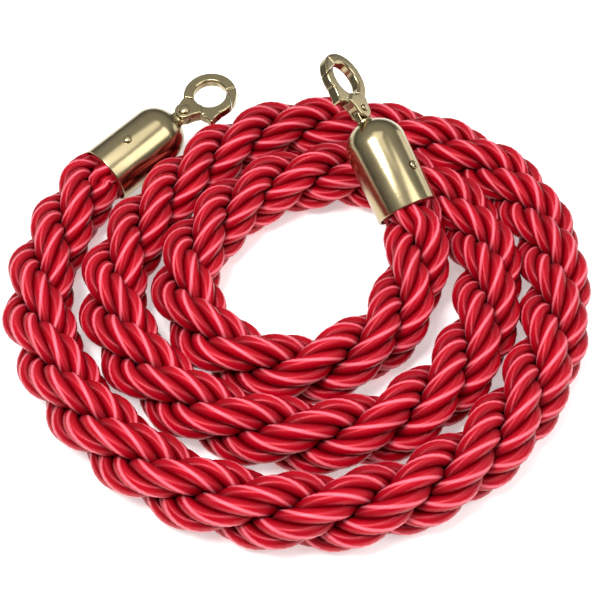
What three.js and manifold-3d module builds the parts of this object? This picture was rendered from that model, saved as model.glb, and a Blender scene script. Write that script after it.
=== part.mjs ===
// A barrier rope laid down in a flat spiral, with a capped snap hook at each end.
// Millimetres, +Z up. The origin is the middle of the footprint, on the floor.
import * as THREE from 'three';
import { mergeVertices } from 'three/addons/utils/BufferGeometryUtils.js';
import Module from 'manifold-3d';

const wasm = await Module();
wasm.setup();

const deg = THREE.MathUtils.degToRad;
const GAP = 0.3; // between pieces that meet

// rope
const ROPE_R = 15.6;
const ROPE_SIDES = 12;
const ROPE_STEPS = 80;
const ROPE_LEAD = 12; // straight run into each cap

// end cap: a tube with a blunt dome, its mouth at y = 0
const CAP_R = 15.75;
const CAP_WALL = 1.2;
const CAP_LENGTH = 50;
const DOME_START = 36;
const DOME_CENTRE_R = 1; // the dome's arc is struck about this radius
const APEX_FLAT_R = 4.5;
const APEX_HOLE_R = 2.6;
const CAP_BORE_R = CAP_R - CAP_WALL;

// what is hidden in the cap
const ROPE_END_R = 13.2;
const ROPE_END_LENGTH = 34;
const WHIPPING = { inner: 13.5, outer: 14.2, from: 25, to: 32 };
const SCREW_Y = 18;
const SCREW_R = 1.4;
const SCREW_HOLE_R = 1.75;
const SCREW_HEAD_R = 2.4;
const SCREW_HEAD_HEIGHT = 1.3;
const SCREW_TIP = 8.6; // distance of its tip from the cap's axis
const CUT_DEPTH = 5; // half length of the bars that cut the hook, longer than it is thick

// swivel: a stud with a peened head inside the dome, a washer on each side of the wall
const STUD_R = 2.2;
const STUD_HEAD = { r: 4, from: 45.55, to: 47.15 };
const WASHER = { inner: 2.55, outer: 4.8, from: 47.45, to: 48.5 };
const SPACER = { inner: 2.5, outer: 4.4, from: 50.3, to: 51.1 };

// snap hook
const PIVOT_Y = 57.2;
const PIN_R = 1.4;
const PIN_HOLE_R = 1.7;
const PIN_HEAD = { r: 3.1, height: 1.4 };
const PIN_TAIL = { r: 1.9, height: 0.8 };
const TONGUE = { half: 1.6, width: 8.5, r: 4.6, from: 51.4 };
const CHEEK = { half: 3.6, r: 5.4, slotHalf: 1.9, slotR: 5 };
const EYE = { x: 1.4, y: 74.8, r: 8.9, outer: 14.7, half: 2.75 };
const CROWN_FLAT = { drop: 0.3, half: 2.2 }; // where a post's ring bears
const SEAM_R = 25.9; // the gate's tip and the jaw's tip part on this arc about the pivot
const SEAM_FROM = -30; // degrees round the eye from its crown, the gate's side negative
const JAW_TIP = -84;
const JAW_ROOT = 154;
const JAW_ROOT_R = 9.2; // the jaw's full thickness starts here, clear of the cheeks
const GATE_FOOT = -168;
const SPRING = { r: 2.25, wire: 0.25, turns: 1.6, rise: 1.0, pocketR: 2.9, pocketHalf: 1.1 };

// where each end lies: mouth of the cap, and how far the screw and the rivet are turned from the top
const ENDS = {
  a: { mouth: [-102.4, 76.1, 18.2], yaw: -46, pitch: 9, screwTurn: 10, hookTurn: 6 },
  b: { mouth: [55, 37, 31.8], yaw: 28.5, pitch: 28.5, screwTurn: 27, hookTurn: 215 },
};

// the rope's centre line between the caps, from end a to end b
const ROUTE = [
  [-125, 22, 16], [-126, -14, 16], [-112, -51, 16], [-87, -85, 16], [-49, -114, 16],
  [-3, -126, 16], [43, -119, 16], [83, -94, 16], [111, -55, 16], [125, -11, 16],
  [125, 33, 16], [111, 71, 16], [79, 99, 16], [39, 113, 16], [-3, 115.5, 16],
  [-36.5, 99, 16], [-62.5, 70, 16], [-82.5, 35, 16], [-91, -5, 16], [-75, -45, 16],
  [-41, -75, 16], [2, -87, 16], [44, -79, 16], [77, -48, 16], [92, -8, 16],
  [92, 31, 16], [68, 68, 16], [24, 79.5, 16], [-15, 69, 16], [-43, 41, 16],
  [-56, 4, 16], [-41, -33, 16], [-8, -51, 16], [27, -41, 16], [48, -18, 16.5],
  [56, 4, 20],
];

const FINISH = {
  rope: { color: 0xa01022, roughness: 0.45, metalness: 0 },
  brass: { color: 0xb0a070, roughness: 0.15, metalness: 1 },
  thread: { color: 0xd8cdb4, roughness: 0.8, metalness: 0 },
  steel: { color: 0x9a9c9e, roughness: 0.3, metalness: 1 },
};

// ---- solids ----

function solid(geometry) {
  const bare = geometry.clone();
  bare.deleteAttribute('normal');
  bare.deleteAttribute('uv');
  const merged = mergeVertices(bare, 1e-4);
  const index = merged.index.array;
  const kept = [];
  for (let i = 0; i < index.length; i += 3) {
    const [a, b, c] = [index[i], index[i + 1], index[i + 2]];
    if (a !== b && b !== c && c !== a) kept.push(a, b, c);
  }
  return new wasm.Manifold(new wasm.Mesh({
    numProp: 3,
    vertProperties: new Float32Array(merged.attributes.position.array),
    triVerts: new Uint32Array(kept),
  }));
}

function toGeometry(shape) {
  const mesh = shape.getMesh();
  const indexed = new THREE.BufferGeometry();
  indexed.setAttribute('position', new THREE.BufferAttribute(mesh.vertProperties, 3));
  indexed.setIndex(new THREE.BufferAttribute(mesh.triVerts, 1));
  const geometry = indexed.toNonIndexed();
  geometry.computeVertexNormals();
  return geometry;
}

// a solid turned about y from a closed outline of [radius, y] points
function turned(outline, segments) {
  const points = [...outline, outline[0]].map(([r, y]) => new THREE.Vector2(r, y));
  return solid(new THREE.LatheGeometry(points, segments));
}

// the same, standing along z at height y
function turnedAcross(outline, segments, y) {
  const points = [...outline, outline[0]].map(([r, h]) => new THREE.Vector2(r, h));
  return solid(new THREE.LatheGeometry(points, segments).rotateX(Math.PI / 2).translate(0, y, 0));
}

function ring({ inner, outer, from, to }, segments) {
  return turned([[inner, from], [outer, from], [outer, to], [inner, to]], segments);
}

// a round bar along z, centred on x = 0
function bar(r, y, from, to, segments = 32) {
  return turnedAcross([[0, from], [r, from], [r, to], [0, to]], segments, y);
}

// an outline in x and y, thickened to z = -half … half, its rims rounded off by bevel
function plate(shape, half, bevel = 0) {
  const geometry = new THREE.ExtrudeGeometry(shape, {
    depth: 2 * (half - bevel),
    bevelEnabled: bevel > 0,
    bevelThickness: bevel,
    bevelSize: bevel,
    bevelOffset: -bevel,
    bevelSegments: 1,
  });
  return solid(geometry.translate(0, 0, bevel - half));
}

function outline(points) {
  return new THREE.Shape(points.map(([x, y]) => new THREE.Vector2(x, y)));
}

// points on a circle about (x, y), the angles in degrees round from +y towards -x
function arcPoints(x, y, r, from, to, step = 8) {
  const count = Math.max(2, Math.round(Math.abs(to - from) / step));
  const points = [];
  for (let i = 0; i <= count; i += 1) {
    const a = deg(from + ((to - from) * i) / count);
    points.push([x - r * Math.sin(a), y + r * Math.cos(a)]);
  }
  return points;
}

// part of the eye's ring, between two angles from its crown
function ringSector(from, to) {
  return plate(outline([
    ...arcPoints(EYE.x, EYE.y, EYE.outer, from, to),
    ...arcPoints(EYE.x, EYE.y, EYE.r, to, from),
  ]), EYE.half, 0.8);
}

// ---- pieces, each drawn with the cap's axis along y ----

function domeArc(wallRadius, endRadius, endY) {
  const width = wallRadius - DOME_CENTRE_R;
  const last = Math.acos((endRadius - DOME_CENTRE_R) / width);
  const height = (endY - DOME_START) / Math.sin(last);
  const steps = 6;
  const arc = [];
  for (let i = 0; i <= steps; i += 1) {
    const t = (last * i) / steps;
    arc.push([DOME_CENTRE_R + width * Math.cos(t), DOME_START + height * Math.sin(t)]);
  }
  return arc;
}

function cap() {
  const lip = 0.4;
  const innerTop = CAP_LENGTH - CAP_WALL;
  const outer = domeArc(CAP_R, APEX_FLAT_R, CAP_LENGTH);
  const inner = domeArc(CAP_BORE_R, WASHER.outer + 0.4, innerTop).reverse();
  const shell = turned([
    [CAP_BORE_R, lip], [CAP_BORE_R + lip, 0], [CAP_R - lip, 0], [CAP_R, lip],
    ...outer, [APEX_HOLE_R, CAP_LENGTH], [APEX_HOLE_R, innerTop], ...inner,
  ], 36);
  return shell.subtract(bar(SCREW_HOLE_R, SCREW_Y, CAP_BORE_R - 2, CAP_R + 1));
}

function capScrew() {
  const seat = CAP_R + GAP;
  const top = seat + SCREW_HEAD_HEIGHT;
  return turnedAcross([
    [0, SCREW_TIP], [SCREW_R, SCREW_TIP], [SCREW_R, seat], [SCREW_HEAD_R, seat],
    [SCREW_HEAD_R, seat + 0.4], [SCREW_HEAD_R * 0.75, top - 0.3], [0, top],
  ], 20, SCREW_Y);
}

function ropeEnd() {
  const core = turned([
    [0, 0], [ROPE_END_R, 0], [ROPE_END_R, ROPE_END_LENGTH - 1],
    [ROPE_END_R - 1, ROPE_END_LENGTH], [0, ROPE_END_LENGTH],
  ], 28);
  return core.subtract(bar(SCREW_HOLE_R, SCREW_Y, SCREW_TIP - 1, ROPE_END_R + 1, 20));
}

function stud() {
  const { r, from, to } = STUD_HEAD;
  const root = TONGUE.from + 0.1;
  return turned([
    [0, from], [r - 0.6, from], [r, from + 0.6], [r, to], [STUD_R, to], [STUD_R, root], [0, root],
  ], 28);
}

function hookBody() {
  const stem = plate(outline([
    [-TONGUE.width / 2, TONGUE.from], [TONGUE.width / 2, TONGUE.from],
    [TONGUE.width / 2, PIVOT_Y], [-TONGUE.width / 2, PIVOT_Y],
  ]), TONGUE.half);
  const eyelet = bar(TONGUE.r, PIVOT_Y, -TONGUE.half, TONGUE.half);
  const neck = plate(outline([
    [0, PIVOT_Y], [-1.3, PIVOT_Y + 4.3], [-2.7, PIVOT_Y + 9.8],
    [-5, PIVOT_Y + 9], [-6.6, PIVOT_Y + 6.8], [-TONGUE.r, PIVOT_Y],
  ]), TONGUE.half);
  const jaw = ringSector(SEAM_FROM, JAW_ROOT)
    .subtract(bar(JAW_ROOT_R, PIVOT_Y, -CUT_DEPTH, CUT_DEPTH, 36));
  const tip = ringSector(JAW_TIP, SEAM_FROM + 0.5)
    .subtract(bar(SEAM_R + GAP / 2, PIVOT_Y, -CUT_DEPTH, CUT_DEPTH, 72));
  const flatY = EYE.y + EYE.r - CROWN_FLAT.drop;
  const land = plate(outline([
    [EYE.x - CROWN_FLAT.half, flatY], [EYE.x + CROWN_FLAT.half, flatY],
    [EYE.x + CROWN_FLAT.half, flatY + 1.5], [EYE.x - CROWN_FLAT.half, flatY + 1.5],
  ]), 1.9);
  return stem.add(eyelet).add(neck).add(jaw).add(tip).add(land).add(stud())
    .subtract(bar(PIN_HOLE_R, PIVOT_Y, -CUT_DEPTH, CUT_DEPTH, 24))
    .subtract(bar(SPRING.pocketR, PIVOT_Y, -SPRING.pocketHalf, SPRING.pocketHalf, 24));
}

// the gate's two cheeks, seen from the rivet's side: a disc that swells towards the arm
function cheekShape() {
  const swell = [
    [-6.2, 3], [-6.6, 5.6], [-4.4, 7.6], [-1.2, 8.7], [2, 8.3], [4.4, 9], [8.6, 5.2], [6.2, 1.6],
  ];
  return outline([
    ...swell.reverse().map(([x, y]) => [x, PIVOT_Y + y]),
    ...arcPoints(0, PIVOT_Y, CHEEK.r, 80, 260, 12),
  ]);
}

function gateLever() {
  const arm = ringSector(GATE_FOOT, SEAM_FROM)
    .intersect(bar(SEAM_R - GAP / 2, PIVOT_Y, -CUT_DEPTH, CUT_DEPTH, 72));
  const cheeks = plate(cheekShape(), CHEEK.half, 0.7);
  const tab = plate(outline([
    [8.4, PIVOT_Y + 3.8], [12.4, PIVOT_Y + 5], [15.6, PIVOT_Y + 4.8],
    [16.6, PIVOT_Y + 5.6], [15.6, PIVOT_Y + 8], [15.4, PIVOT_Y + 13], [11, PIVOT_Y + 9],
  ]), EYE.half, 0.5);
  const slot = bar(CHEEK.slotR, PIVOT_Y, -CHEEK.slotHalf, CHEEK.slotHalf);
  const neckWay = plate(outline([
    [0, PIVOT_Y], [3.6, PIVOT_Y + 12], [-12, PIVOT_Y + 12], [-12, PIVOT_Y - 8], [6, PIVOT_Y - 8],
    [6, PIVOT_Y - 0.8],
  ]), CHEEK.slotHalf);
  return arm.add(cheeks).add(tab).subtract(slot).subtract(neckWay)
    .subtract(bar(PIN_HOLE_R, PIVOT_Y, -CUT_DEPTH, CUT_DEPTH, 24));
}

function pivotPin() {
  const seat = CHEEK.half + GAP;
  return turnedAcross([
    [0, -seat - PIN_TAIL.height], [PIN_TAIL.r * 0.7, -seat - PIN_TAIL.height * 0.7],
    [PIN_TAIL.r, -seat], [PIN_R, -seat], [PIN_R, seat], [PIN_HEAD.r, seat],
    [PIN_HEAD.r * 0.9, seat + PIN_HEAD.height * 0.5],
    [PIN_HEAD.r * 0.55, seat + PIN_HEAD.height * 0.87], [0, seat + PIN_HEAD.height],
  ], 24, PIVOT_Y);
}

class Coil extends THREE.Curve {
  getPoint(t, target = new THREE.Vector3()) {
    const a = t * SPRING.turns * 2 * Math.PI;
    return target.set(
      SPRING.r * Math.cos(a),
      PIVOT_Y + SPRING.r * Math.sin(a),
      SPRING.rise * (t - 0.5),
    );
  }
}

function tube(path, r, sides, steps) {
  const section = new THREE.Shape();
  for (let i = 0; i < sides; i += 1) {
    const a = (2 * Math.PI * i) / sides;
    if (i === 0) section.moveTo(r, 0);
    else section.lineTo(r * Math.cos(a), r * Math.sin(a));
  }
  return solid(new THREE.ExtrudeGeometry(section, { steps, extrudePath: path }));
}

// ---- placing ----

// y runs out of the cap; z is the side that has been turned away from the top
function endFrame({ mouth, yaw, pitch }, turn) {
  const y = new THREE.Vector3(
    -Math.sin(deg(yaw)) * Math.cos(deg(pitch)),
    Math.cos(deg(yaw)) * Math.cos(deg(pitch)),
    Math.sin(deg(pitch)),
  );
  const up = new THREE.Vector3(0, 0, 1).addScaledVector(y, -y.z).normalize();
  const z = up.applyAxisAngle(y, deg(turn));
  const x = new THREE.Vector3().crossVectors(y, z);
  return new THREE.Matrix4().makeBasis(x, y, z).setPosition(...mouth);
}

function ropePath() {
  const onAxis = (end, y) => new THREE.Vector3(0, y, 0).applyMatrix4(endFrame(ENDS[end], 0));
  const points = [
    onAxis('a', -GAP), onAxis('a', -GAP - ROPE_LEAD),
    ...ROUTE.map((p) => new THREE.Vector3(...p)),
    onAxis('b', -GAP - ROPE_LEAD), onAxis('b', -GAP),
  ];
  return new THREE.CatmullRomCurve3(points, false, 'catmullrom', 0.5);
}

function piece(name, shape, finish, frame = new THREE.Matrix4()) {
  const material = new THREE.MeshStandardMaterial(FINISH[finish]);
  const mesh = new THREE.Mesh(toGeometry(shape).applyMatrix4(frame), material);
  mesh.name = name;
  return mesh;
}

function endPieces(end) {
  const inCap = endFrame(ENDS[end], ENDS[end].screwTurn);
  const onHook = endFrame(ENDS[end], ENDS[end].hookTurn);
  return [
    piece(`cap_${end}`, cap(), 'brass', inCap),
    piece(`cap_screw_${end}`, capScrew(), 'brass', inCap),
    piece(`rope_end_${end}`, ropeEnd(), 'rope', inCap),
    piece(`whipping_${end}`, ring(WHIPPING, 28), 'thread', inCap),
    piece(`swivel_washer_${end}`, ring(WASHER, 24), 'brass', inCap),
    piece(`swivel_spacer_${end}`, ring(SPACER, 24), 'brass', onHook),
    piece(`hook_body_${end}`, hookBody(), 'brass', onHook),
    piece(`gate_lever_${end}`, gateLever(), 'brass', onHook),
    piece(`pivot_pin_${end}`, pivotPin(), 'brass', onHook),
    piece(`gate_spring_${end}`, tube(new Coil(), SPRING.wire, 6, 26), 'steel', onHook),
  ];
}

const object = new THREE.Group();
object.name = 'barrier_rope';
object.add(piece('rope', tube(ropePath(), ROPE_R, ROPE_SIDES, ROPE_STEPS), 'rope'));
object.add(...endPieces('a'), ...endPieces('b'));

export default object;
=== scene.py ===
import math

import bmesh
import bpy
import numpy as np
from mathutils import Matrix, Vector


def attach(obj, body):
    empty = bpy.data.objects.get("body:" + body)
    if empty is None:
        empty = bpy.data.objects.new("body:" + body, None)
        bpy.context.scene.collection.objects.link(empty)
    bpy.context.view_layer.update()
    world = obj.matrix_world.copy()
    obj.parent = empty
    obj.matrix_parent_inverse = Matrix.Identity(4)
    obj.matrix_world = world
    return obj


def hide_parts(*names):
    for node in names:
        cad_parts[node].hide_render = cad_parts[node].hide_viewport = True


MM = 0.001
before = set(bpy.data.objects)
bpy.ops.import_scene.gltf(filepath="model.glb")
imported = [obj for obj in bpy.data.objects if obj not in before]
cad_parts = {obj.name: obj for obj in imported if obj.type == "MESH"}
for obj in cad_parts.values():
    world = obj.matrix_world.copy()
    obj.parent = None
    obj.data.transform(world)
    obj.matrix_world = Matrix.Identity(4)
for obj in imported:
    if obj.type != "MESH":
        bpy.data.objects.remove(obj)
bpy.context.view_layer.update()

# ---- camera: looks down at about 50 degrees, on a square picture ----

CAMERA_AT = Vector((1.0, -393.7, 475.6)) * MM
LOOKS_AT = Vector((1.0, -8.0, 16.0)) * MM
LENS = 73.8


def add_camera():
    data = bpy.data.cameras.new("camera")
    data.lens = LENS
    data.sensor_width = 36.0
    data.clip_start = 0.01
    camera = bpy.data.objects.new("camera", data)
    camera.location = CAMERA_AT
    camera.rotation_euler = (LOOKS_AT - CAMERA_AT).to_track_quat("-Z", "Y").to_euler()
    bpy.context.collection.objects.link(camera)
    bpy.context.scene.camera = camera


# ---- where the two ends lie, and the rope's route between them (as in the CAD source) ----

ENDS = {
    "a": {
        "mouth": (-0.1024, 0.0761, 0.0182),
        "yaw": -46.0,
        "pitch": 9.0,
        "screw_turn": 10.0,
        "hook_turn": 6.0,
    },
    "b": {
        "mouth": (0.055, 0.037, 0.0318),
        "yaw": 28.5,
        "pitch": 28.5,
        "screw_turn": 27.0,
        "hook_turn": 215.0,
    },
}
ROUTE = [
    (-0.125, 0.022, 0.016), (-0.126, -0.014, 0.016), (-0.112, -0.051, 0.016), (-0.087, -0.085, 0.016),
    (-0.049, -0.114, 0.016), (-0.003, -0.126, 0.016), (0.043, -0.119, 0.016), (0.083, -0.094, 0.016),
    (0.111, -0.055, 0.016), (0.125, -0.011, 0.016), (0.125, 0.033, 0.016), (0.111, 0.071, 0.016),
    (0.079, 0.099, 0.016), (0.039, 0.113, 0.016), (-0.003, 0.1155, 0.016), (-0.0365, 0.099, 0.016),
    (-0.0625, 0.07, 0.016), (-0.0825, 0.035, 0.016), (-0.091, -0.005, 0.016), (-0.075, -0.045, 0.016),
    (-0.041, -0.075, 0.016), (0.002, -0.087, 0.016), (0.044, -0.079, 0.016), (0.077, -0.048, 0.016),
    (0.092, -0.008, 0.016), (0.092, 0.031, 0.016), (0.068, 0.068, 0.016), (0.024, 0.0795, 0.016),
    (-0.015, 0.069, 0.016), (-0.043, 0.041, 0.016), (-0.056, 0.004, 0.016), (-0.041, -0.033, 0.016),
    (-0.008, -0.051, 0.016), (0.027, -0.041, 0.016), (0.048, -0.018, 0.0165), (0.056, 0.004, 0.020),
]
GAP = 0.3 * MM
ROPE_LEAD = 12.0 * MM  # straight run into each cap
STEPS_BETWEEN_POINTS = 40


def end_frame(end, turn):
    """y runs out of the cap along its axis; z is turned away from the top by turn degrees."""
    yaw = math.radians(ENDS[end]["yaw"])
    pitch = math.radians(ENDS[end]["pitch"])
    y = Vector((-math.sin(yaw) * math.cos(pitch), math.cos(yaw) * math.cos(pitch), math.sin(pitch)))
    up = (Vector((0, 0, 1)) - y.z * y).normalized()
    z = Matrix.Rotation(math.radians(turn), 3, y) @ up
    x = y.cross(z)
    placed = Matrix((x, y, z)).transposed().to_4x4()
    placed.translation = Vector(ENDS[end]["mouth"])
    return placed


def on_axis(end, y):
    return tuple(end_frame(end, 0) @ Vector((0, y, 0)))


def rope_points():
    start = [on_axis("a", -GAP), on_axis("a", -GAP - ROPE_LEAD)]
    finish = [on_axis("b", -GAP - ROPE_LEAD), on_axis("b", -GAP)]
    return np.array(start + ROUTE + finish)


def smooth_line(points, spacing):
    """A uniform Catmull-Rom curve through the points, resampled at equal distances."""
    ends = [2 * points[0] - points[1], *points, 2 * points[-1] - points[-2]]
    fine = []
    for p0, p1, p2, p3 in zip(ends, ends[1:], ends[2:], ends[3:]):
        m1 = (p2 - p0) / 2
        m2 = (p3 - p1) / 2
        for t in np.linspace(0, 1, STEPS_BETWEEN_POINTS, endpoint=False):
            fine.append(
                (2 * t**3 - 3 * t**2 + 1) * p1 + (t**3 - 2 * t**2 + t) * m1
                + (3 * t**2 - 2 * t**3) * p2 + (t**3 - t**2) * m2
            )
    fine.append(points[-1])
    fine = np.array(fine)
    along = np.concatenate([[0], np.cumsum(np.linalg.norm(np.diff(fine, axis=0), axis=1))])
    at = np.linspace(0, along[-1], int(along[-1] / spacing) + 1)
    return np.column_stack([np.interp(at, along, fine[:, k]) for k in range(3)]), at


def unit(v):
    return v / np.linalg.norm(v, axis=-1, keepdims=True)


def carried_frames(line):
    """Tangents and two cross directions that turn no more than the line does."""
    tangent = unit(np.gradient(line, axis=0))
    normal = np.zeros_like(line)
    normal[0] = unit(np.cross(tangent[0], (0, 0, 1)))
    for i in range(1, len(line)):
        n = normal[i - 1] - tangent[i] * (normal[i - 1] @ tangent[i])
        normal[i] = n / np.linalg.norm(n)
    return tangent, normal, np.cross(tangent, normal)


# ---- rope: three strands laid left-handed, each of four satin cords ----

LAY = 102.0 * MM  # length of one turn of the strands
STRANDS = 3
STRAND_OFFSET = 9.2 * MM
CORDS = 4
CORD_OFFSET = 4.75 * MM
CORD_R = 3.65 * MM
ROPE_R = STRAND_OFFSET + CORD_OFFSET + CORD_R
CORD_TURNS = 3.1  # turns of the cords in their strand, per turn of the strands
CORD_SIDES = 12
STEP = 2.0 * MM
HAND = -1  # left-handed
TUCK = 3.0 * MM  # how far the rope reaches into a cap
NECK = 15.0 * MM  # the length over which a cap squeezes it
NECK_SCALE = 0.86
ROPE_CORE_R = 4.2 * MM  # plain yarn that fills the middle of the rope and of each strand
STRAND_CORE_R = 3.2 * MM
FLOOR_AT = 0.3 * MM  # the underside is pressed flat here
SWELL = 0.04  # how far a cord's thickness wanders, over a short and a long distance
SWELL_SHORT = 11.0 * MM
SWELL_LONG = 37.0 * MM
PATH_POINTS = 300


def rope_mesh():
    """The rope's middle line, the distance along it, and the tubes of its cords and fillings."""
    points = rope_points()
    points[0] += unit(points[0] - points[1]) * TUCK
    points[-1] += unit(points[-1] - points[-2]) * TUCK
    line, along = smooth_line(points, STEP)
    _, n, b = carried_frames(line)
    from_end = np.minimum(along, along[-1] - along)
    squeeze = NECK_SCALE + (1 - NECK_SCALE) * np.clip((from_end - TUCK) / NECK, 0, 1) ** 0.6
    rng = np.random.default_rng(7)
    # The plain fillings get shade 0, so the material paints them darker: painted shade inside the
    # rope.
    tubes = [tube(line, ROPE_CORE_R * squeeze, along, 0.0, n, line)]
    for s in range(STRANDS):
        turn = HAND * 2 * math.pi * along / LAY + 2 * math.pi * s / STRANDS
        out = np.cos(turn)[:, None] * n + np.sin(turn)[:, None] * b
        strand = line + out * (STRAND_OFFSET * squeeze)[:, None]
        # Painted shade: each strand's filling also gets shade 0 and comes out darker.
        tubes.append(tube(strand, STRAND_CORE_R * squeeze, along, 0.0, out, line))
        side = unit(np.cross(unit(np.gradient(strand, axis=0)), out))
        out = np.cross(side, unit(np.gradient(strand, axis=0)))
        for c in range(CORDS):
            spin = -HAND * 2 * math.pi * CORD_TURNS * along / LAY + 2 * math.pi * c / CORDS
            away = np.cos(spin)[:, None] * out + np.sin(spin)[:, None] * side
            start = 2 * math.pi * rng.random()
            swell = 1 + SWELL * np.sin(along / SWELL_SHORT + start) * np.sin(along / SWELL_LONG)
            cord = strand + away * (CORD_OFFSET * squeeze)[:, None]
            shade = rng.uniform(0.4, 1.0)
            tubes.append(tube(cord, CORD_R * squeeze * swell, along, shade, away, line))
    return line, along, tubes


def tube(line, radius, along, shade, outward, middle):
    """One round tube, its first side facing outward.

    Gives its points, faces, thread coordinates, shade and height above the rope's middle line.
    """
    t = unit(np.gradient(line, axis=0))
    b = unit(np.cross(t, outward))
    n = np.cross(b, t)
    ring = np.arange(CORD_SIDES)
    a = 2 * math.pi * ring / CORD_SIDES
    rim = np.cos(a)[None, :, None] * n[:, None] + np.sin(a)[None, :, None] * b[:, None]
    points = (line[:, None] + radius[:, None, None] * rim).reshape(-1, 3)
    height = np.linalg.norm(points - np.repeat(middle, CORD_SIDES, axis=0), axis=1) / ROPE_R
    points[:, 2] = np.maximum(points[:, 2], FLOOR_AT)
    i, j = np.meshgrid(np.arange(len(line) - 1), ring, indexing="ij")
    k = (j + 1) % CORD_SIDES
    here = i * CORD_SIDES
    beyond = here + CORD_SIDES
    faces = np.stack([here + j, here + k, beyond + k, beyond + j], axis=-1).reshape(-1, 4)
    u = np.stack([j, j + 1, j + 1, j], axis=-1) / CORD_SIDES
    v = np.stack([along[i], along[i], along[i + 1], along[i + 1]], axis=-1)
    thread = np.stack([u, v], axis=-1).reshape(-1, 2)
    return points, faces, thread, np.full(len(points), shade), height


def add_mesh(name, verts, faces):
    mesh = bpy.data.meshes.new(name)
    mesh.from_pydata(verts.tolist(), [], faces.tolist())
    mesh.validate()
    obj = bpy.data.objects.new(name, mesh)
    bpy.context.collection.objects.link(obj)
    return obj


def add_rope(material):
    line, along, tubes = rope_mesh()
    starts = np.cumsum([0] + [len(t[0]) for t in tubes])
    verts = np.concatenate([t[0] for t in tubes])
    faces = np.concatenate([t[1] + start for t, start in zip(tubes, starts)])
    uvs = np.concatenate([t[2] for t in tubes])
    shades = np.concatenate([t[3] for t in tubes])
    heights = np.concatenate([t[4] for t in tubes])
    obj = add_mesh("rope_strands", verts, faces)
    mesh = obj.data
    layer = mesh.uv_layers.new(name="thread")
    layer.data.foreach_set("uv", uvs.astype(np.float32).ravel())
    shade = mesh.attributes.new("shade", "FLOAT", "POINT")
    shade.data.foreach_set("value", shades.astype(np.float32))
    height = mesh.attributes.new("height", "FLOAT", "POINT")
    height.data.foreach_set("value", heights.astype(np.float32))
    mesh.shade_smooth()
    mesh.materials.append(material)
    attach(obj, "rope")
    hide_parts("rope")
    inside = [tuple(p) for p in line[:: max(1, len(line) // PATH_POINTS)]]
    if inside[-1] != tuple(line[-1]):
        inside.append(tuple(line[-1]))
    return obj


# ---- materials ----


def new_material(name):
    material = bpy.data.materials.new(name)
    material.use_nodes = True
    tree = material.node_tree
    return material, tree.nodes, tree.links, tree.nodes["Principled BSDF"]


def ramp(nodes, stops):
    node = nodes.new("ShaderNodeValToRGB")
    while len(node.color_ramp.elements) < len(stops):
        node.color_ramp.elements.new(0.5)
    for element, (at, colour) in zip(node.color_ramp.elements, stops):
        element.position = at
        element.color = (*colour, 1.0)
    return node


# A satin cord's colours, from its outermost line (0) round to its inner side (0.5): a painted
# highlight along the outermost line, the red body, then painted shade darkening towards the inner
# side.
CORD_COLOUR_PAINTED_HIGHLIGHT_AND_SHADE = [
    (0.0, (1.0, 0.20, 0.26)),
    (0.02, (0.95, 0.15, 0.20)),
    (0.048, (0.46, 0.001, 0.012)),
    (0.12, (0.42, 0.001, 0.010)),
    (0.22, (0.22, 0.000, 0.004)),
    (0.32, (0.04, 0.000, 0.001)),
]


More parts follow.
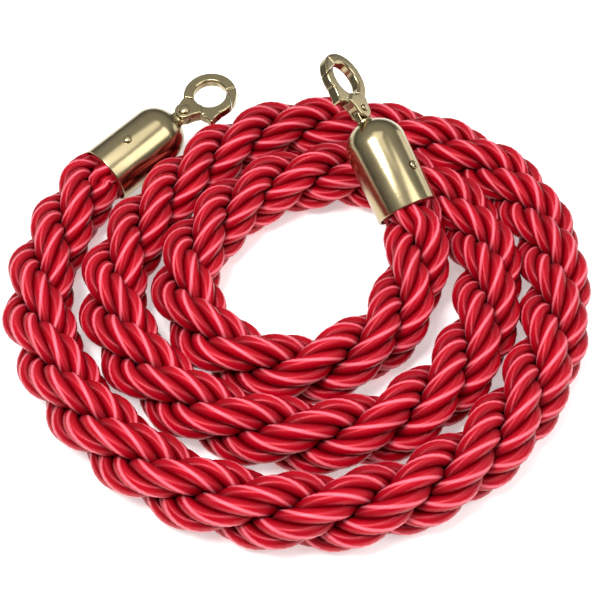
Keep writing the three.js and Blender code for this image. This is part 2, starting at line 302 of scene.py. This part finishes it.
def satin():
    material, nodes, links, shader = new_material("red_satin_cord")
    uv = nodes.new("ShaderNodeUVMap")
    uv.uv_map = "thread"
    parts = nodes.new("ShaderNodeSeparateXYZ")
    links.new(uv.outputs["UV"], parts.inputs[0])
    around = nodes.new("ShaderNodeMath")
    around.operation = "MULTIPLY"
    around.inputs[1].default_value = 22.0
    links.new(parts.outputs["X"], around.inputs[0])
    slant = nodes.new("ShaderNodeMath")
    slant.operation = "MULTIPLY_ADD"
    slant.inputs[1].default_value = 260.0
    links.new(parts.outputs["Y"], slant.inputs[0])
    links.new(around.outputs[0], slant.inputs[2])
    wave = nodes.new("ShaderNodeMath")
    wave.operation = "PINGPONG"
    wave.inputs[1].default_value = 0.5
    links.new(slant.outputs[0], wave.inputs[0])
    coords = nodes.new("ShaderNodeTexCoord")
    fibre = nodes.new("ShaderNodeTexNoise")
    fibre.inputs["Scale"].default_value = 700.0
    fibre.inputs["Detail"].default_value = 3.0
    links.new(coords.outputs["Object"], fibre.inputs["Vector"])
    relief = nodes.new("ShaderNodeMath")
    relief.operation = "MULTIPLY_ADD"
    relief.inputs[1].default_value = 0.6
    links.new(fibre.outputs["Fac"], relief.inputs[0])
    links.new(wave.outputs[0], relief.inputs[2])
    bump = nodes.new("ShaderNodeBump")
    bump.inputs["Strength"].default_value = 0.1
    bump.inputs["Distance"].default_value = 0.0002
    links.new(relief.outputs[0], bump.inputs["Height"])
    links.new(bump.outputs[0], shader.inputs["Normal"])
    patch = nodes.new("ShaderNodeTexNoise")
    patch.inputs["Scale"].default_value = 60.0
    links.new(coords.outputs["Object"], patch.inputs["Vector"])
    shade = nodes.new("ShaderNodeAttribute")
    shade.attribute_name = "shade"
    blend = nodes.new("ShaderNodeMath")
    blend.operation = "MULTIPLY_ADD"
    blend.inputs[1].default_value = 0.4
    links.new(shade.outputs["Fac"], blend.inputs[0])
    links.new(patch.outputs["Fac"], blend.inputs[2])
    # The position round the cord picks its colour: a painted highlight on the outermost line, painted
    # shade on the inner side.
    side = nodes.new("ShaderNodeMath")
    side.operation = "PINGPONG"
    side.inputs[1].default_value = 0.5
    links.new(parts.outputs["X"], side.inputs[0])
    colour = ramp(nodes, CORD_COLOUR_PAINTED_HIGHLIGHT_AND_SHADE)
    links.new(side.outputs[0], colour.inputs[0])
    # Painted shade: the colour darkens, and reflects less, the nearer a point lies to the rope's
    # middle line, in the crevices between strands and cords.
    height = nodes.new("ShaderNodeAttribute")
    height.attribute_name = "height"
    painted_crevice_shade = ramp(nodes, [(0.35, (0.1, 0.1, 0.1)), (0.75, (0.85, 0.85, 0.85)), (1.0, (1.0, 1.0, 1.0))])
    links.new(height.outputs["Fac"], painted_crevice_shade.inputs[0])
    # Uneven tone from each cord's random shade and patchy noise; the fillings, with shade 0, come out
    # darker as painted shade.
    uneven = ramp(nodes, [(0.0, (0.3, 0.3, 0.3)), (0.35, (0.7, 0.7, 0.7)), (1.0, (1.0, 1.0, 1.0))])
    links.new(blend.outputs[0], uneven.inputs[0])
    shaded = colour
    for layer in (painted_crevice_shade, uneven):
        product = nodes.new("ShaderNodeVectorMath")
        product.operation = "MULTIPLY"
        links.new(shaded.outputs[0], product.inputs[0])
        links.new(layer.outputs[0], product.inputs[1])
        shaded = product
    links.new(shaded.outputs[0], shader.inputs["Base Color"])
    links.new(painted_crevice_shade.outputs[0], shader.inputs["Specular IOR Level"])
    tangent = nodes.new("ShaderNodeTangent")
    tangent.direction_type = "UV_MAP"
    tangent.uv_map = "thread"
    links.new(tangent.outputs[0], shader.inputs["Tangent"])
    shader.inputs["Roughness"].default_value = 0.36
    shader.inputs["Anisotropic"].default_value = 0.95
    shader.inputs["Anisotropic Rotation"].default_value = 0.25
    shader.inputs["Specular Tint"].default_value = (1.0, 0.2, 0.25, 1.0)
    return material


def brass():
    material, nodes, links, shader = new_material("polished_antique_brass")
    coords = nodes.new("ShaderNodeTexCoord")
    tarnish = nodes.new("ShaderNodeTexNoise")
    tarnish.inputs["Scale"].default_value = 90.0
    tarnish.inputs["Detail"].default_value = 4.0
    links.new(coords.outputs["Object"], tarnish.inputs["Vector"])
    colour = ramp(nodes, [(0.35, (0.39, 0.32, 0.177)), (0.7, (0.44, 0.365, 0.21))])
    links.new(tarnish.outputs["Fac"], colour.inputs[0])
    links.new(colour.outputs[0], shader.inputs["Base Color"])
    rough = nodes.new("ShaderNodeMapRange")
    rough.inputs["To Min"].default_value = 0.17
    rough.inputs["To Max"].default_value = 0.24
    links.new(tarnish.outputs["Fac"], rough.inputs["Value"])
    links.new(rough.outputs[0], shader.inputs["Roughness"])
    fine = nodes.new("ShaderNodeTexNoise")
    fine.inputs["Scale"].default_value = 500.0
    links.new(coords.outputs["Object"], fine.inputs["Vector"])
    bump = nodes.new("ShaderNodeBump")
    bump.inputs["Strength"].default_value = 0.03
    bump.inputs["Distance"].default_value = 0.0002
    links.new(fine.outputs["Fac"], bump.inputs["Height"])
    links.new(bump.outputs[0], shader.inputs["Normal"])
    shader.inputs["Metallic"].default_value = 1.0
    return material


def plain_noise(name, dark, light, scale, roughness, metallic=0.0):
    material, nodes, links, shader = new_material(name)
    coords = nodes.new("ShaderNodeTexCoord")
    noise = nodes.new("ShaderNodeTexNoise")
    noise.inputs["Scale"].default_value = scale
    links.new(coords.outputs["Object"], noise.inputs["Vector"])
    colour = ramp(nodes, [(0.3, dark), (0.7, light)])
    links.new(noise.outputs["Fac"], colour.inputs[0])
    links.new(colour.outputs[0], shader.inputs["Base Color"])
    bump = nodes.new("ShaderNodeBump")
    bump.inputs["Distance"].default_value = 0.0002
    links.new(noise.outputs["Fac"], bump.inputs["Height"])
    links.new(bump.outputs[0], shader.inputs["Normal"])
    shader.inputs["Roughness"].default_value = roughness
    shader.inputs["Metallic"].default_value = metallic
    return material


# ---- turned brass pieces ----

CAP_R = 15.75
CAP_WALL = 1.2
CAP_LENGTH = 50.0
DOME_START = 36.0
DOME_CENTRE_R = 1.0
APEX_FLAT_R = 4.5
APEX_INNER_R = 5.2
APEX_HOLE_R = 2.6
SCREW_Y = 18.0
SCREW_R = 1.4
SCREW_HEAD_R = 2.4
SCREW_HEAD_HEIGHT = 1.3
SCREW_HEAD_EDGE = 0.25  # thickness of the head's straight rim
SCREW_SEAT = CAP_R + 0.3
SCREW_TIP = 8.6
PIVOT_Y = 57.2
PIN_R = 1.4
PIN_SEAT = 3.9  # where the rivet's head and tail meet the cheeks
PIN_HEAD = {"r": 3.1, "edge": 0.2, "rise": 1.2}
PIN_TAIL = {"r": 1.9, "edge": 0.1, "rise": 0.7}
SHARP_EDGE = math.radians(40)


def turned(name, outline, place, sides):
    """A closed outline of (radius, height) in mm, turned about the place's y axis."""
    outline = np.array(outline, float) * MM
    count = len(outline)
    a = 2 * math.pi * np.arange(sides) / sides
    verts = np.stack([
        np.outer(np.sin(a), outline[:, 0]),
        np.tile(outline[:, 1], (sides, 1)),
        np.outer(np.cos(a), outline[:, 0]),
    ], axis=-1).reshape(-1, 3)
    i, j = np.meshgrid(np.arange(sides), np.arange(count), indexing="ij")
    k = (j + 1) % count
    here = i * count
    beyond = (i + 1) % sides * count
    faces = np.stack([here + j, beyond + j, beyond + k, here + k], axis=-1).reshape(-1, 4)
    obj = add_mesh(name, verts, faces)
    weld(obj)
    obj.data.transform(place)
    obj.data.shade_smooth()
    obj.data.set_sharp_from_angle(angle=SHARP_EDGE)
    return obj


def weld(obj):
    """Joins the points that meet on the turning axis, and faces every side outward."""
    work = bmesh.new()
    work.from_mesh(obj.data)
    bmesh.ops.remove_doubles(work, verts=work.verts, dist=1e-7)
    bmesh.ops.recalc_face_normals(work, faces=work.faces)
    work.to_mesh(obj.data)
    work.free()


def dome(wall_r, end_r, end_y, steps=20):
    width = wall_r - DOME_CENTRE_R
    last = math.acos((end_r - DOME_CENTRE_R) / width)
    height = (end_y - DOME_START) / math.sin(last)
    return [
        (DOME_CENTRE_R + width * math.cos(t), DOME_START + height * math.sin(t))
        for t in np.linspace(0, last, steps)
    ]


def rounded(centre_r, centre_y, r, start, stop, steps=6):
    return [
        (centre_r + r * math.cos(t), centre_y + r * math.sin(t))
        for t in np.radians(np.linspace(start, stop, steps))
    ]


def cap_outline():
    bore = CAP_R - CAP_WALL
    lip = CAP_WALL / 2
    return (
        rounded(CAP_R - lip, lip, lip, 180, 360, 10)
        + dome(CAP_R, APEX_FLAT_R, CAP_LENGTH)
        + [(APEX_HOLE_R, CAP_LENGTH), (APEX_HOLE_R, CAP_LENGTH - CAP_WALL)]
        + dome(bore, APEX_INNER_R, CAP_LENGTH - CAP_WALL)[::-1]
    )


def screw_outline():
    rise = SCREW_HEAD_HEIGHT - SCREW_HEAD_EDGE
    head = [
        (SCREW_HEAD_R * math.cos(t), SCREW_SEAT + SCREW_HEAD_EDGE + rise * math.sin(t))
        for t in np.linspace(0, math.pi / 2, 8)
    ]
    shank = [(0, SCREW_TIP), (SCREW_R, SCREW_TIP), (SCREW_R, SCREW_SEAT), (SCREW_HEAD_R, SCREW_SEAT)]
    return shank + head


def pin_cap(cap, steps):
    return [
        (cap["r"] * math.cos(t), PIN_SEAT + cap["edge"] + cap["rise"] * math.sin(t))
        for t in np.linspace(0, math.pi / 2, steps)
    ]


def pin_outline():
    head = pin_cap(PIN_HEAD, 8)
    tail = [(r, -y) for r, y in pin_cap(PIN_TAIL, 6)[::-1]]
    shank = [(PIN_R, -PIN_SEAT), (PIN_R, PIN_SEAT)]
    return tail + [(PIN_TAIL["r"], -PIN_SEAT)] + shank + [(PIN_HEAD["r"], PIN_SEAT)] + head


def across(end_matrix, y):
    """The frame of a piece that stands along the end's z at height y."""
    return end_matrix @ Matrix.Translation((0, y * MM, 0)) @ Matrix.Rotation(math.pi / 2, 4, "X")


def stand_in(obj, node, body, metal):
    """The turned piece takes the place of its faceted CAD node."""
    obj.data.materials.append(metal)
    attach(obj, body)
    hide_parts(node)


def add_end(end, metal, fabric, thread, steel):
    in_cap = end_frame(end, ENDS[end]["screw_turn"])
    on_hook = end_frame(end, ENDS[end]["hook_turn"])
    cap = turned(f"cap_{end}_shell", cap_outline(), in_cap, 160)
    screw = turned(f"cap_screw_{end}_dome", screw_outline(), across(in_cap, SCREW_Y), 40)
    rivet = turned(f"pivot_pin_{end}_rivet", pin_outline(), across(on_hook, PIVOT_Y), 48)
    stand_in(cap, f"cap_{end}", "rope", metal)
    stand_in(screw, f"cap_screw_{end}", "rope", metal)
    stand_in(rivet, f"pivot_pin_{end}", f"hook_{end}", metal)
    for node in (f"hook_body_{end}", f"gate_lever_{end}"):
        soften_casting(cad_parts[node])
        paint(node, metal)
    for node in (f"swivel_washer_{end}", f"swivel_spacer_{end}"):
        paint(node, metal)
    paint(f"rope_end_{end}", fabric)
    paint(f"whipping_{end}", thread)
    paint(f"gate_spring_{end}", steel)


def paint(node, material):
    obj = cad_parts[node]
    for slot in obj.material_slots:
        slot.material = material
    if not obj.material_slots:
        obj.data.materials.append(material)


def soften_casting(obj):
    """Rounds a casting's edges and flows its joins together."""
    remesh = obj.modifiers.new("even_mesh", "REMESH")
    remesh.mode = "VOXEL"
    remesh.voxel_size = 0.25 * MM
    remesh.use_smooth_shade = True
    smooth = obj.modifiers.new("soft_edges", "SMOOTH")
    smooth.factor = 0.5
    smooth.iterations = 8


# ---- studio ----


def add_floor():
    bpy.ops.mesh.primitive_plane_add(size=8.0, location=(0, 0, 0))
    floor = bpy.context.object
    floor.name = "floor"
    material, nodes, links, shader = new_material("pale_floor")
    shader.inputs["Base Color"].default_value = (0.93, 0.93, 0.93, 1.0)
    shader.inputs["Roughness"].default_value = 0.9
    shader.inputs["Emission Color"].default_value = (1.0, 1.0, 1.0, 1.0)
    shader.inputs["Emission Strength"].default_value = 0.4
    floor.data.materials.append(material)


def add_light(name, location, target, size, power):
    data = bpy.data.lights.new(name, "AREA")
    data.shape = "RECTANGLE"
    data.size, data.size_y = size
    data.energy = power
    light = bpy.data.objects.new(name, data)
    light.location = location
    light.rotation_euler = (Vector(target) - Vector(location)).to_track_quat("-Z", "Y").to_euler()
    bpy.context.collection.objects.link(light)


def add_world():
    """Dark round the horizon, brighter overhead."""
    world = bpy.data.worlds.new("studio")
    bpy.context.scene.world = world
    world.use_nodes = True
    nodes, links = world.node_tree.nodes, world.node_tree.links
    coords = nodes.new("ShaderNodeTexCoord")
    parts = nodes.new("ShaderNodeSeparateXYZ")
    links.new(coords.outputs["Generated"], parts.inputs[0])
    sky = ramp(nodes, [(0.02, (0.03, 0.03, 0.03)), (0.3, (0.25, 0.25, 0.25)), (0.7, (0.5, 0.5, 0.5))])
    links.new(parts.outputs["Z"], sky.inputs[0])
    links.new(sky.outputs[0], nodes["Background"].inputs["Color"])


def add_lights():
    add_world()
    add_light("key", (-0.32, -0.30, 1.0), (0, 0, 0), (0.38, 0.38), 11.0)
    add_light("top", (0.0, 0.05, 1.4), (0, 0, 0), (0.8, 0.8), 3.0)
    add_light("back_right", (1.0, 0.68, 0.2), (0, 0, 0), (0.5, 0.3), 0.8)
    add_light("right", (0.75, -0.35, 0.85), (0, 0, 0), (0.7, 0.7), 4.5)


add_camera()
red, metal = satin(), brass()
thread = plain_noise("whipping_thread", (0.55, 0.48, 0.36), (0.72, 0.65, 0.52), 900.0, 0.8)
steel = plain_noise("spring_wire", (0.35, 0.35, 0.36), (0.5, 0.5, 0.52), 700.0, 0.3, 1.0)
core = plain_noise("rope_end_fibre", (0.30, 0.002, 0.008), (0.5, 0.004, 0.014), 800.0, 0.6)
for end in ENDS:
    add_end(end, metal, core, thread, steel)
add_rope(red)
add_floor()
add_lights()
bpy.context.scene.view_settings.view_transform = "Standard"
